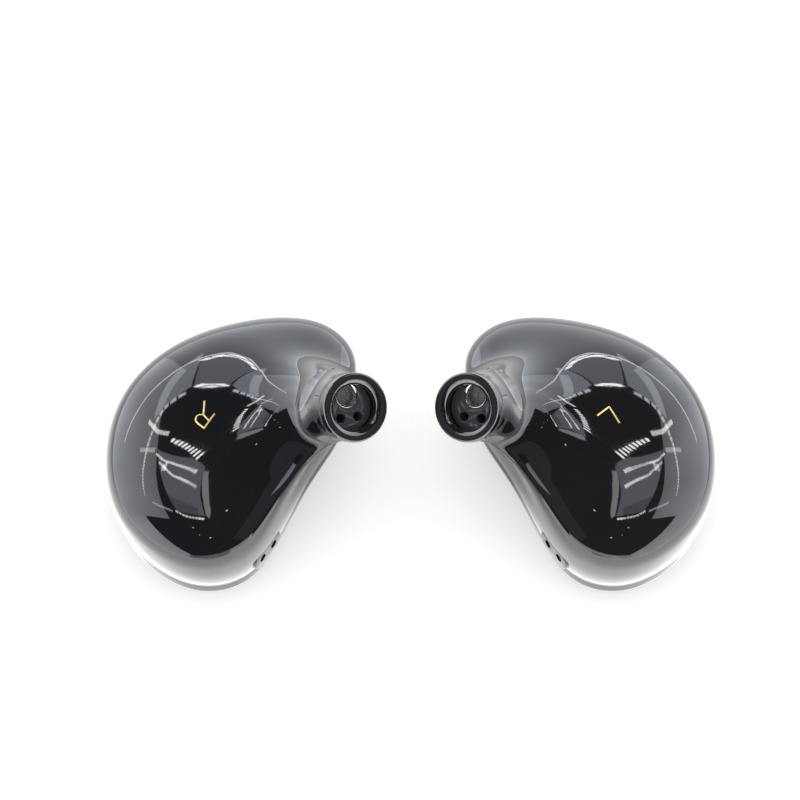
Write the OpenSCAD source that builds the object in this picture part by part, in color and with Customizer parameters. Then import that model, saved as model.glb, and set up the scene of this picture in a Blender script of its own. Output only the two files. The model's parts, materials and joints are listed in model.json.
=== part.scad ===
// A pair of in-ear monitors with three balanced-armature drivers in each earpiece.
// Every piece is drawn once, for the right earpiece, and the left one is its mirror image.
// +Z is up, the faceplates lie on Z = 0, and X = 0 is the plane between the two.

/* [Pair] */
// From the plane between the earpieces to the centre of each
pair_offset = 17.5; // [15:0.5:40]

/* [Shell] */
// Width of the shell's control outline, across the pair
body_w = 24; // [23.5:0.5:28]
// Length of the shell's control outline, front to back
body_l = 28; // [27:0.5:32]
// Height of the widest part of the shell
belly_z = 5.8; // [5.6:0.1:7]
// Faceplate outline as a share of the widest outline
foot_share = 0.92; // [0.88:0.01:0.96]
// How far the wall rises above the belly before it turns in over the drivers
shoulder_rise = 7.1; // [6.8:0.1:8.5]
// How far the shell's top is drawn out along the nozzle
neck_reach = 5; // [4.5:0.1:5.6]
// Thickness of the resin wall
shell_wall = 1.1; // [0.8:0.1:1.3]

/* [Faceplate] */
// Thickness of the faceplate
faceplate_t = 1.2; // [1:0.1:1.6]
// Rounding of the faceplate's outer rim
faceplate_round = 0.5; // [0.2:0.1:0.7]

/* [Nozzle] */
// Lean of the nozzle from straight up
nozzle_lean = 44; // [40:1:48]
// Heading of the nozzle, turned from the pair's middle towards the front
nozzle_heading = -51; // [-56:1:-46]
// Middle of the nozzle's seat, towards the pair's middle
seat_x = 10.3; // [9.8:0.1:10.8]
// Middle of the nozzle's seat, front to back
seat_y = 0.3; // [-0.2:0.1:0.8]
// Height of the nozzle's seat
seat_z = 12.2; // [11.8:0.1:13]
// Diameter of the seat and of the nozzle's foot
seat_d = 6.8; // [6.5:0.1:7.2]
// Height of the nozzle's foot
foot_h = 0.4; // [0.3:0.1:0.6]
// Diameter of the nozzle's stem
stem_d = 5.9; // [5.7:0.1:6.1]
// Diameter of the lip that holds an ear tip
lip_d = 6.4; // [6.3:0.1:6.8]
// Height of the lip
lip_h = 1.2; // [1:0.1:1.6]
// Rounding of the lip's front edge
lip_round = 0.45; // [0.25:0.05:0.5]
// Rounding of the mouth's inner edge
mouth_round = 0.35; // [0.15:0.05:0.4]
// Length of the nozzle from its seat to its mouth
nozzle_l = 5; // [4.6:0.1:6.5]
// Diameter of the hole through the nozzle
nozzle_bore_d = 4.6; // [4.5:0.05:4.7]
// How far the sound bores' face lies inside the mouth
mouth_depth = 1.6; // [1.2:0.1:2]

/* [Sound bores] */
// Diameter of the bass bore
bass_bore_d = 1.7; // [1.5:0.05:1.8]
// Diameter of the mid and treble bores
small_bore_d = 0.9; // [0.7:0.05:1]
// From the nozzle's axis to the bass bore
bass_bore_off = 1.05; // [0.95:0.05:1.1]
// From the nozzle's axis to each small bore
small_bore_off = 1.3; // [1.2:0.05:1.4]
// Turn of the bass bore about the nozzle, from the bore's low side
bass_turn = 155; // [135:5:175]
// Turn of each small bore from the bass bore
small_turn = 138; // [132:1:146]
// Wall of the bass bore's metal sleeve
sleeve_wall = 0.15; // [0.1:0.05:0.2]
// Length of the sleeve
sleeve_l = 1.4; // [1:0.1:1.8]
// How far the sleeve stands out of the plug
sleeve_proud = 0.15; // [0.05:0.05:0.25]
// Wall of the soft sound tubes
tube_wall = 0.15; // [0.1:0.05:0.2]
// Depth of a damper's cup
damper_l = 0.8; // [0.6:0.1:1]
// How far a damper lies inside the plug's inner end
damper_in = 0.6; // [0.4:0.1:0.8]

/* [Drivers] */
// Length of the bass driver
bass_l = 8.2; // [7.8:0.1:8.4]
// Width of the bass driver
bass_w = 5.6; // [5.2:0.1:5.8]
// Height of the bass driver
bass_h = 3.6; // [3.4:0.1:3.8]
// Length of the mid driver
mid_l = 6.3; // [6:0.1:6.5]
// Width of the mid driver
mid_w = 4.3; // [4:0.1:4.4]
// Height of the mid driver
mid_h = 3; // [2.8:0.1:3.2]
// Length of the treble driver
treble_l = 5; // [4.7:0.1:5.2]
// Width of the treble driver
treble_w = 2; // [1.8:0.1:2.1]
// Height of the treble driver
treble_h = 2.8; // [2.6:0.1:3]
// Rounding of the drivers' upright edges
can_round = 0.4; // [0.2:0.1:0.6]
// Length of a driver's sound spout
spout_l = 0.8; // [0.6:0.1:1]
// Thickness of the cradle's floor
cradle_t = 0.8; // [0.6:0.1:0.9]
// Height of the cradle's floor above the faceplate
cradle_lift = 2.2; // [2:0.1:2.4]
// Thickness of the rim round each driver
tray_rim = 0.4; // [0.3:0.05:0.5]
// Height of the rim round each driver
tray_rim_h = 0.7; // [0.4:0.1:0.8]
// Diameter of the cradle's legs
leg_d = 1.2; // [1:0.1:1.4]

/* [Crossover] */
// Width of the crossover board
board_w = 6; // [5.6:0.1:6.2]
// Length of the crossover board
board_l = 6.6; // [6:0.1:7]
// Thickness of the crossover board
board_t = 0.5; // [0.4:0.1:0.6]

/* [Cable socket] */
// Place of the socket along the outline, counted in its control points
socket_at = 9.4; // [9.3:0.05:9.6]
// Height of the pin holes
socket_z = 3.2; // [2.9:0.1:3.6]
// Diameter of a pin hole
pin_hole_d = 0.8; // [0.76:0.01:0.84]
// Distance between the pin holes
pin_pitch = 1.8; // [1.7:0.05:1.9]
// Width of the socket block
socket_w = 4.2; // [4:0.1:4.6]
// Height of the socket block
socket_h = 2; // [1.8:0.1:2.2]
// Depth of the socket block
socket_depth = 4; // [3.6:0.1:4.4]
// How far the socket block stands out of the shell
socket_proud = 0.1; // [0.05:0.05:0.2]
// Wall of the contact tubes
contact_wall = 0.2; // [0.15:0.05:0.25]
// How far the contacts reach behind the socket block
contact_back = 0.1; // [0.05:0.05:0.2]
// Length of a contact's solder tail
tail_l = 0.5; // [0.4:0.1:0.7]

/* [Wiring] */
// Diameter of an enamelled wire
wire_d = 0.25; // [0.2:0.01:0.27]

/* [Hidden] */
SIDE_NODES = ["shell", "faceplate", "nozzle", "bore_plug", "bass_sleeve", "dampers",
    "bass_tube", "mid_tube", "treble_tube", "bass_driver", "mid_driver", "treble_driver",
    "driver_cradle", "crossover_board", "crossover_parts", "socket", "socket_contacts",
    "wires"];

// Clearance between pieces that slide into each other
slip = 0.03;

// Colours
resin = [0.03, 0.03, 0.035];
metal = [0.78, 0.78, 0.8];
gold = [0.83, 0.66, 0.3];
soft = [0.9, 0.92, 0.9];

// Control outline of the shell seen from above, as shares of half its width and length
outline_shape = [[1, 0.36], [1.08, 0.71], [0.75, 1.03], [0.12, 1], [-0.5, 0.79],
    [-0.89, 0.36], [-0.95, -0.2], [-0.79, -0.66], [-0.26, -1.03], [0.27, -0.92],
    [0.53, -0.44], [0.71, -0.03]];
control = [for (p = outline_shape) [p.x * body_w / 2, p.y * body_l / 2]];
// Shares of the shoulder's rise and of the neck's reach at each of those points
shoulder_shape = [[1, 0.78], [1, 0.9], [0.99, 1.06], [0.96, 1.22], [0.94, 1.4],
    [0.92, 1.58], [0.87, 1.5], [0.82, 1.02], [0.82, 0.9], [0.86, 0.84],
    [0.96, 0.64], [0.99, 0.66]];
// Pulls of the lower wall's curve: out and up at the faceplate, and down from the belly
foot_pull = [0.55, 0.28];
wall_h = belly_z - faceplate_t;
belly_pull = 0.48;
// Run over which a low shoulder grows to its full height
ease_run = 7;
// How much lower the inner wall's curves stay, as multiples of the wall
inner_rise = 1.5;
inner_neck = 0.8;
around = 56;
low_rows = 5;
high_rows = 13;

// Nozzle axis and the two directions across it
axis = [sin(nozzle_lean) * cos(nozzle_heading), sin(nozzle_lean) * sin(nozzle_heading),
    cos(nozzle_lean)];
across = [cos(nozzle_lean) * cos(nozzle_heading), cos(nozzle_lean) * sin(nozzle_heading),
    -sin(nozzle_lean)];
aside = cross(axis, across);
seat = [seat_x, seat_y, seat_z];
seat_wall = (seat_d - nozzle_bore_d) / 2;
// Turn of the seat's first point about the nozzle's axis
seat_start = 27;

// Drivers: length, width and height of each, then its place and heading in the shell
bass_size = [bass_l, bass_w, bass_h];
mid_size = [mid_l, mid_w, mid_h];
treble_size = [treble_l, treble_w, treble_h];
bass_place = [-0.066 * body_w, 0.141 * body_l, -12];
mid_place = [-0.19 * body_w, -0.136 * body_l, 22];
trays_apart = (mid_w + treble_w) / 2 + tray_rim + 4 * slip;
treble_place = mid_place + trays_apart * [sin(mid_place.z), -cos(mid_place.z), 0];
cradle_z = faceplate_t + cradle_lift;
driver_z = cradle_z + cradle_t;
board_place = [-0.2 * body_w, 0.028 * body_l];
board_round = 0.5;
// Gold pads on the back of a driver, one each side of its middle by this share of its width
pad_size = [0.3, 0.6, 0.6];
pad_proud = 0.2;
pad_share = 1 / 6;
contact_d = pin_hole_d + 2 * contact_wall;
contact_l = socket_depth + contact_back;
contact_end = 0.6;
socket_round = socket_h / 2 - 0.1;

// Wires: the gap that solder fills at each end, the height of their ends on the board, and how
// far their curves are drawn out of a driver and out of the board
solder = 0.03;
lead_z = faceplate_t + board_t + wire_d / 2 + solder;
lead_out = 1.5;
socket_pull = [0.3, -2, 0.8];
mid_pull = [-0.06 * body_w, -0.18 * body_l, 0.2];
treble_pull = [-0.1 * body_w, -0.29 * body_l, 0.2];
bass_pull = [0, 0, 1.8];

// Crossover parts: sizes, then places from the board's middle
chip = [1, 0.5, 0.4];
chip_step = [1.5, 0.9];
chip_start = [-0.2 * board_w, -0.3 * board_l];
tank = [2.4, 1.6, 1.2];
tank_place = [-0.18 * board_w, board_l / 3];
coil_d = 1.8;
coil_h = 1;
coil_place = [0.23 * board_w, board_l / 3];

// Bridge between the cradle's trays, the trays' corners, and the legs in each driver's frame
bridge_w = 3.5;
tray_round = 0.6;
bass_legs = [[3.2, -2], [3.2, 2.2], [-2.4, 2.2]];
mid_legs = [[0.4, -1.8]];
treble_legs = [[0.5, 0]];

// ---- curves and surfaces ----
function bezier(a, b, c, d, t) =
    pow(1 - t, 3) * a + 3 * pow(1 - t, 2) * t * b + 3 * (1 - t) * t * t * c + pow(t, 3) * d;
// Closed cubic spline near the given points, u counted in points
function spline(points, u) =
    let (n = len(points), k = floor(u), t = u - k)
    (pow(1 - t, 3) * points[(k + n - 1) % n]
        + (3 * pow(t, 3) - 6 * t * t + 4) * points[k % n]
        + (-3 * pow(t, 3) + 3 * t * t + 3 * t + 1) * points[(k + 1) % n]
        + pow(t, 3) * points[(k + 2) % n]) / 6;
function outline_at(u) = spline(control, u);
function outward(u) =
    let (d = outline_at(u + 0.05) - outline_at(u + len(control) - 0.05)) [d.y, -d.x] / norm(d);
function deep(p, z) = [p.x, p.y, z];
function seat_point(angle, r) = seat + r * (cos(angle) * across + sin(angle) * aside);
// One line of the shell from the faceplate to the nozzle, set in by a wall's thickness
function meridian(i, inset, rows_low, rows_high) =
    let (u = i * len(control) / around,
        edge = outline_at(u) - inset * outward(u),
        foot = outline_at(u) * foot_share - inset * outward(u),
        e = deep(edge, belly_z),
        f = deep(foot, faceplate_t),
        s = seat_point(360 * i / around + seat_start, seat_d / 2 - (inset > 0 ? seat_wall : 0)),
        span = norm([s.x - e.x, s.y - e.y]),
        ease = 1 - exp(-span / ease_run),
        share = spline(shoulder_shape, u),
        rise = (shoulder_rise * share.x - inner_rise * inset) * ease,
        reach = neck_reach * share.y * ease)
    concat(
        [for (j = [0:rows_low - 1])
            bezier(f, f + deep((edge - foot) * foot_pull.x, wall_h * foot_pull.y),
                e - [0, 0, wall_h * belly_pull], e, j / rows_low)],
        [for (j = [0:rows_high])
            bezier(e, e + [0, 0, rise], s - reach * axis - [0, 0, inner_neck * inset], s,
                j / rows_high)]);
// Triangles over a grid of points that wraps round its columns, and round its rows if closed
function grid_faces(rows, cols, closed = true) =
    [for (r = [0:rows - (closed ? 1 : 2)]) for (c = [0:cols - 1]) for (half = [0, 1])
        let (a = r * cols + c, b = r * cols + (c + 1) % cols,
            d = ((r + 1) % rows) * cols + c, e = ((r + 1) % rows) * cols + (c + 1) % cols)
        half == 0 ? [a, d, b] : [b, d, e]];
function rows_of(lines) = [for (j = [0:len(lines[0]) - 1]) for (line = lines) line[j]];
function reversed(list) = [for (i = [len(list) - 1:-1:0]) list[i]];
// Rings of a tube swept along a path, with one fixed side direction
function ring(path, i, r, sides, side) =
    let (d = path[min(i + 1, len(path) - 1)] - path[max(i - 1, 0)],
        t = d / norm(d), a = cross(side, t) / norm(cross(side, t)), b = cross(t, a))
    [for (k = [0:sides - 1]) path[i] + r * (cos(360 * k / sides) * a + sin(360 * k / sides) * b)];

// Height share along the lower wall at which it reaches z, found by halving
function low_share(z, from = 0, to = 1, left = 12) =
    let (m = (from + to) / 2,
        at = bezier(faceplate_t, faceplate_t + foot_pull.y * wall_h,
            belly_z - belly_pull * wall_h, belly_z, m))
    left == 0 ? m : at < z ? low_share(z, m, to, left - 1) : low_share(z, from, m, left - 1);
// Middle of the socket on the shell's wall, and its heading
socket_share = low_share(socket_z);
socket_edge = outline_at(socket_at);
socket_foot = socket_edge * foot_share;
socket_wall = bezier(socket_foot, socket_foot + (socket_edge - socket_foot) * foot_pull.x,
    socket_edge, socket_edge, socket_share);
socket_out = outward(socket_at);
socket_heading = atan2(socket_out.y, socket_out.x);
// Point of the socket's frame: out of the wall, and along it
function socket_point(out, along) =
    deep(socket_wall + out * socket_out + along * [-socket_out.y, socket_out.x], socket_z);
function heading(place) = [cos(place.z), sin(place.z), 0];
// Point of a driver's frame: forward, to its left and up from the cradle's floor
function driver_point(place, forward, left, up) =
    [place.x, place.y, driver_z + up] + forward * heading(place)
        + left * [-sin(place.z), cos(place.z), 0];
function curve(a, a_pull, b, b_pull, steps) =
    [for (i = [0:steps]) bezier(a, a + a_pull, b + b_pull, b, i / steps)];

// ---- building blocks ----
module hollow_sweep(path, r_out, r_in, sides, side) {
    n = len(path);
    outer = [for (i = [0:n - 1]) each ring(path, i, r_out, sides, side)];
    inner = [for (i = [n - 1:-1:0]) each ring(path, i, r_in, sides, side)];
    polyhedron(concat(outer, inner), grid_faces(2 * n, sides));
}

module solid_sweep(path, r, sides, side) {
    n = len(path);
    rings = [for (i = [0:n - 1]) each ring(path, i, r, sides, side)];
    polyhedron(rings, concat(grid_faces(n, sides, false),
        [[for (k = [0:sides - 1]) k], [for (k = [sides - 1:-1:0]) (n - 1) * sides + k]]));
}

module rounded_rect(w, l, r) {
    square([w - 2 * r, l], center = true);
    square([w, l - 2 * r], center = true);
    for (x = [-1, 1]) for (y = [-1, 1])
        translate([x * (w / 2 - r), y * (l / 2 - r)]) circle(r, $fn = 24);
}

module at_nozzle() {
    translate(seat) rotate([0, nozzle_lean, nozzle_heading]) children();
}

module at_socket() {
    translate(deep(socket_wall, socket_z)) rotate([0, 90, socket_heading]) children();
}

module at_driver(place) {
    translate([place.x, place.y, driver_z]) rotate([0, 0, place.z]) children();
}

module at_bores() {
    rotate([0, 0, bass_turn]) translate([bass_bore_off, 0, 0]) children(0);
    for (turn = [-small_turn, small_turn])
        rotate([0, 0, bass_turn + turn]) translate([small_bore_off, 0, 0]) children(1);
}

module pin_places() {
    for (along = [-1, 1]) translate([0, along * pin_pitch / 2, 0]) children();
}

// ---- shell and faceplate ----
module shell() {
    lines = [for (i = [0:around - 1]) concat(meridian(i, 0, low_rows, high_rows),
        reversed(meridian(i, shell_wall, low_rows - 2, high_rows - 4)))];
    color(resin) difference() {
        polyhedron(rows_of(lines), grid_faces(len(lines[0]), around));
        at_socket() translate([0, 0, -socket_depth])
            linear_extrude(2 * socket_depth)
                rounded_rect(socket_h + 2 * slip, socket_w + 2 * slip, socket_round);
    }
}

module faceplate() {
    turns = [0, 30, 60, 90];
    rim = [for (i = [0:around - 1]) let (u = i * len(control) / around) concat(
        [for (t = turns)
            deep(outline_at(u) * foot_share - faceplate_round * (1 - sin(t)) * outward(u),
                faceplate_round * (1 - cos(t)))],
        [deep(outline_at(u) * foot_share, faceplate_t)])];
    rows = len(rim[0]);
    under = rows * around;
    top = (rows - 1) * around;
    color(resin) polyhedron(
        concat(rows_of(rim), [[0, 0, 0], [0, 0, faceplate_t]]),
        concat(grid_faces(rows, around, false),
            [for (c = [0:around - 1]) [c, (c + 1) % around, under]],
            [for (c = [0:around - 1]) [top + c, under + 1, top + (c + 1) % around]]));
}

// ---- nozzle ----
module nozzle() {
    r_lip = lip_d / 2;
    r_stem = stem_d / 2;
    r_foot = seat_d / 2;
    r_bore = nozzle_bore_d / 2;
    step = r_foot - r_stem;
    heel = 0.2;
    front = [for (t = [0:15:90])
        [r_lip - lip_round * (1 - cos(t)), nozzle_l - lip_round * (1 - sin(t))]];
    mouth = [for (t = [90:-15:0])
        [r_bore + mouth_round * (1 - sin(t)), nozzle_l - mouth_round * cos(t)]];
    root = [for (t = [0:15:90]) [r_foot - step * sin(t), foot_h + step * (1 - cos(t))]];
    color(resin) at_nozzle() rotate_extrude($fn = 72) polygon(concat(
        [[r_bore, 0], [r_foot, 0]], root,
        [[r_stem, nozzle_l - lip_h - heel], [r_lip - heel, nozzle_l - lip_h],
            [r_lip, nozzle_l - lip_h + heel]],
        front, reversed(mouth)));
}

module bore_plug() {
    plug_l = nozzle_l - mouth_depth;
    color(resin) at_nozzle() difference() {
        cylinder(h = plug_l, d = nozzle_bore_d - 2 * slip, $fn = 64);
        at_bores() {
            translate([0, 0, -1]) {
                cylinder(h = plug_l + 2, d = bass_bore_d, $fn = 32);
                translate([0, 0, plug_l - sleeve_l + 1])
                    cylinder(h = sleeve_l + 1, d = bass_bore_d + 2 * sleeve_wall, $fn = 32);
            }
            translate([0, 0, -1]) cylinder(h = plug_l + 2, d = small_bore_d, $fn = 32);
        }
    }
}

module bass_sleeve() {
    color(metal) at_nozzle() rotate([0, 0, bass_turn])
        translate([bass_bore_off, 0, nozzle_l - mouth_depth - sleeve_l])
            difference() {
                cylinder(h = sleeve_l + sleeve_proud, d = bass_bore_d + 2 * sleeve_wall,
                    $fn = 32);
                translate([0, 0, -1])
                    cylinder(h = sleeve_l + sleeve_proud + 2, d = bass_bore_d, $fn = 32);
            }
}

// Acoustic dampers: a short cup with a fine mesh across it in each bore
module damper(d) {
    cup_wall = 0.12;
    translate([0, 0, damper_in]) difference() {
        cylinder(h = damper_l, d = d, $fn = 24);
        translate([0, 0, cup_wall]) cylinder(h = damper_l, d = d - 2 * cup_wall, $fn = 24);
    }
}

module dampers() {
    color(soft) at_nozzle() at_bores() {
        damper(bass_bore_d);
        damper(small_bore_d);
    }
}

// ---- sound tubes ----
// Soft tube from a driver's spout to its bore in the plug
module sound_tube(place, size, bore_d, turn, off) {
    from = driver_point(place, size.x / 2, 0, size.z / 2);
    to = seat + off * (cos(turn) * across + sin(turn) * aside);
    straight = from + spout_l * heading(place);
    end = to - spout_l * axis;
    pull = 0.25 * norm(end - straight);
    path = concat([from], curve(straight, pull * heading(place), end, -pull * axis, 8), [to]);
    color(soft) hollow_sweep(path, bore_d / 2 + tube_wall, bore_d / 2, 10,
        [-sin(place.z), cos(place.z), 0]);
}

module bass_tube() {
    sound_tube(bass_place, bass_size, bass_bore_d, bass_turn, bass_bore_off);
}

module mid_tube() {
    sound_tube(mid_place, mid_size, small_bore_d, bass_turn - small_turn, small_bore_off);
}

module treble_tube() {
    sound_tube(treble_place, treble_size, small_bore_d, bass_turn + small_turn, small_bore_off);
}

// ---- balanced-armature drivers ----
module driver(place, size, bore_d) {
    seam = 0.15;
    spout = bore_d - 0.1;
    spout_wall = 0.15;
    root = 0.1;
    color(metal) at_driver(place) {
        linear_extrude(size.z) rounded_rect(size.x, size.y, can_round);
        translate([0, 0, (size.z - seam) / 2]) linear_extrude(seam)
            rounded_rect(size.x - 2 * root, size.y + seam, can_round);
        translate([size.x / 2 - root, 0, size.z / 2]) rotate([0, 90, 0]) difference() {
            cylinder(h = spout_l + root, d = spout, $fn = 24);
            translate([0, 0, root])
                cylinder(h = spout_l + 1, d = spout - 2 * spout_wall, $fn = 24);
        }
    }
    color(gold) at_driver(place) for (y = [-1, 1])
        translate([(pad_size.x - size.x) / 2 - pad_proud, y * pad_share * size.y, size.z / 2])
            cube(pad_size, center = true);
}

module bass_driver() {
    driver(bass_place, bass_size, bass_bore_d);
}

module mid_driver() {
    driver(mid_place, mid_size, small_bore_d);
}

module treble_driver() {
    driver(treble_place, treble_size, small_bore_d);
}

// Tray that a driver drops into, with its legs down to the faceplate
module tray(place, size, legs) {
    hole = [size.x + 2 * slip, size.y + 2 * slip];
    at_driver(place) {
        translate([0, 0, -cradle_t]) difference() {
            linear_extrude(cradle_t + tray_rim_h)
                rounded_rect(hole.x + 2 * tray_rim, hole.y + 2 * tray_rim, tray_round);
            translate([-hole.x / 2, -hole.y / 2, cradle_t]) cube([hole.x, hole.y, size.z]);
        }
        for (leg = legs) translate([leg.x, leg.y, faceplate_t - driver_z])
            cylinder(h = cradle_lift + cradle_t / 2, d = leg_d, $fn = 24);
    }
}

module driver_cradle() {
    color([0.75, 0.76, 0.72]) union() {
        tray(bass_place, bass_size, bass_legs);
        tray(mid_place, mid_size, mid_legs);
        tray(treble_place, treble_size, treble_legs);
        translate([bass_place.x - bridge_w, mid_place.y + mid_w / 3, cradle_z])
            cube([bridge_w, bass_place.y - mid_place.y - (bass_w + mid_w) / 3, cradle_t]);
    }
}

// ---- crossover ----
module crossover_board() {
    color([0.1, 0.3, 0.2]) translate([board_place.x, board_place.y, faceplate_t])
        linear_extrude(board_t) rounded_rect(board_w, board_l, board_round);
}

module crossover_parts() {
    translate([board_place.x, board_place.y, faceplate_t + board_t]) {
        color([0.45, 0.3, 0.2]) for (row = [0:3]) for (col = [0:1])
            translate([chip_start.x + col * chip_step.x, chip_start.y + row * chip_step.y,
                chip.z / 2]) cube(chip, center = true);
        color([0.8, 0.6, 0.15]) translate(deep(tank_place, tank.z / 2))
            cube(tank, center = true);
        color([0.2, 0.2, 0.22]) translate(coil_place)
            cylinder(h = coil_h, d = coil_d, $fn = 24);
    }
}

// ---- cable socket ----
module socket() {
    color([0.09, 0.09, 0.1]) at_socket() translate([0, 0, socket_proud - socket_depth])
        difference() {
            linear_extrude(socket_depth) rounded_rect(socket_h, socket_w, socket_round);
            pin_places() translate([0, 0, -1])
                cylinder(h = socket_depth + 2, d = contact_d, $fn = 32);
        }
}

module socket_contacts() {
    color(gold) at_socket() translate([0, 0, socket_proud - contact_l]) pin_places() {
        difference() {
            cylinder(h = contact_l, d = contact_d, $fn = 32);
            translate([0, 0, contact_end]) cylinder(h = contact_l, d = pin_hole_d, $fn = 32);
        }
        translate([0, 0, -tail_l]) cylinder(h = tail_l, d = pin_hole_d, $fn = 24);
    }
}

// ---- wiring ----
// Pad i of the three pairs along the board's front edge
function front_pad(i, s) = [board_place.x + i * board_w / 3 + s * pad_size.y * 0.6,
    board_place.y - board_l / 2 + pad_size.y, lead_z];
// Pair of pads at the board's far edge
function far_pad(s) = [board_place.x - board_w / 2 + pad_size.y * 0.6,
    board_place.y + board_l / 4 + s * pad_size.y, lead_z];
function solder_point(place, size, s) =
    driver_point(place, -size.x / 2 - pad_proud - solder, s * pad_share * size.y, size.z / 2);

module lead(from, from_pull, to, to_pull, side) {
    solid_sweep(curve(from, from_pull, to, to_pull, 7), wire_d / 2, 6, side);
}

module wires() {
    tail = contact_l + tail_l - socket_proud + solder;
    color([0.6, 0.2, 0.1]) for (s = [-1, 1]) {
        lead(socket_point(-tail, s * pin_pitch / 2), -lead_out * deep(socket_out, 0),
            front_pad(1, s), socket_pull, [0, 0, 1]);
        lead(solder_point(mid_place, mid_size, s), -lead_out * heading(mid_place),
            front_pad(-1, s), mid_pull, [1, 0.2, 0.3]);
        lead(solder_point(treble_place, treble_size, s), -lead_out * heading(treble_place),
            front_pad(0, s), treble_pull, [1, 0.2, 0.3]);
        lead(solder_point(bass_place, bass_size, s), -lead_out * heading(bass_place),
            far_pad(s), bass_pull, [0, 1, 0]);
    }
}

// ---- the pair ----
module right() {
    translate([-pair_offset, 0, 0]) children();
}

module left() {
    mirror([1, 0, 0]) right() children();
}

right() shell();  // right_shell
right() faceplate();  // right_faceplate
right() nozzle();  // right_nozzle
right() bore_plug();  // right_bore_plug
right() bass_sleeve();  // right_bass_sleeve
right() dampers();  // right_dampers
right() bass_tube();  // right_bass_tube
right() mid_tube();  // right_mid_tube
right() treble_tube();  // right_treble_tube
right() bass_driver();  // right_bass_driver
right() mid_driver();  // right_mid_driver
right() treble_driver();  // right_treble_driver
right() driver_cradle();  // right_driver_cradle
right() crossover_board();  // right_crossover_board
right() crossover_parts();  // right_crossover_parts
right() socket();  // right_socket
right() socket_contacts();  // right_socket_contacts
right() wires();  // right_wires
left() shell();  // left_shell
left() faceplate();  // left_faceplate
left() nozzle();  // left_nozzle
left() bore_plug();  // left_bore_plug
left() bass_sleeve();  // left_bass_sleeve
left() dampers();  // left_dampers
left() bass_tube();  // left_bass_tube
left() mid_tube();  // left_mid_tube
left() treble_tube();  // left_treble_tube
left() bass_driver();  // left_bass_driver
left() mid_driver();  // left_mid_driver
left() treble_driver();  // left_treble_driver
left() driver_cradle();  // left_driver_cradle
left() crossover_board();  // left_crossover_board
left() crossover_parts();  // left_crossover_parts
left() socket();  // left_socket
left() socket_contacts();  // left_socket_contacts
left() wires();  // left_wires
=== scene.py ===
# A pair of in-ear monitors in black lacquer, on a pale floor.
# The right earpiece is modelled in millimetres, and the left one is its mirror image.
import json
import math

import bpy
from mathutils import Matrix, Vector
from mathutils.bvhtree import BVHTree

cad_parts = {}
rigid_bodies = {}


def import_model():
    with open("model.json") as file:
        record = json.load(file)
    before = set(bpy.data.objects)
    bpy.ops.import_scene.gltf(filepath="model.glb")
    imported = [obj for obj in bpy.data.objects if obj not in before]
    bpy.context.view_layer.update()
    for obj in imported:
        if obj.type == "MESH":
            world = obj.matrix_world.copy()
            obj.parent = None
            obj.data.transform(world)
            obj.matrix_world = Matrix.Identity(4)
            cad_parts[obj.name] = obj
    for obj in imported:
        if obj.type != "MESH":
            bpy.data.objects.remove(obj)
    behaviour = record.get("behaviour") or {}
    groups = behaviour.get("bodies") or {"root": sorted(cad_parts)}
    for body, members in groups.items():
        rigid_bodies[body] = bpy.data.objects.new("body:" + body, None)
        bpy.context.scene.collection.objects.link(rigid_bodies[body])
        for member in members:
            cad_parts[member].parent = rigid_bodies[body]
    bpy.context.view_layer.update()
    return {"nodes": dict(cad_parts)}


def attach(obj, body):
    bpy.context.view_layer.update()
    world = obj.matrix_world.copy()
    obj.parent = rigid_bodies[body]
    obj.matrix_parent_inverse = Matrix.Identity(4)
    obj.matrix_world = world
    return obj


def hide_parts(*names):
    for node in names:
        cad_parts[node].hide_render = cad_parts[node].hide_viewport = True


mm = 0.001
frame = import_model()
nodes = frame["nodes"]
bpy.ops.object.select_all(action="DESELECT")
scene = bpy.context.scene
print("frame loaded:", len(nodes), "nodes")

camera = {
    "place": (-0.001, -0.2234, 0.3327),  # metres
    "aim": (-0.001, 0.006, 0.005),
    "lens": 190.5,  # millimetres
}


def addCamera():
    place = Vector(camera["place"])
    look = Vector(camera["aim"]) - place
    bpy.ops.object.camera_add(location=place, rotation=look.to_track_quat("-Z", "Y").to_euler())
    scene.camera = bpy.context.object
    scene.camera.data.lens = camera["lens"]


addCamera()

# The form of an earpiece, as in the part file, in millimetres and degrees
form = {
    "pairOffset": 17.5,  # from the middle of the pair to each earpiece's origin
    "width": 24,
    "length": 28,
    "bellyZ": 5.8,  # height of the widest line
    "footShare": 0.92,  # the faceplate's outline against the widest one
    "rise": 7.1,  # how far the shoulder rises over the belly, and reaches from the nozzle
    "reach": 5,
    "wall": 1.1,
    "faceplate": 1.2,
    "footPull": 0.55,  # the flank's bend, as shares of its overhang and its height
    "footLift": 0.28,
    "bellyLift": 0.48,
    "blend": 7,  # the shoulder flattens where belly and nozzle are closer than this
    "innerDrop": 1.5,  # how the inside of the shell follows its outside
    "innerTuck": 0.8,
    "outline": [(1, 0.36), (1.08, 0.71), (0.75, 1.03), (0.12, 1), (-0.5, 0.79), (-0.89, 0.36),
                (-0.95, -0.2), (-0.79, -0.66), (-0.26, -1.03), (0.27, -0.92), (0.53, -0.44),
                (0.71, -0.03)],
    "shoulder": [(1, 0.78), (1, 0.9), (0.99, 1.06), (0.96, 1.22), (0.94, 1.4), (0.92, 1.58),
                 (0.87, 1.5), (0.82, 1.02), (0.82, 0.9), (0.86, 0.84), (0.96, 0.64),
                 (0.99, 0.66)],
    "lean": 44,
    "heading": -51,
    "seat": (10.3, 0.3, 12.2),
    "seatStart": 27,
    "seatR": 3.4,
    "boreR": 2.3,
}

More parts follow.
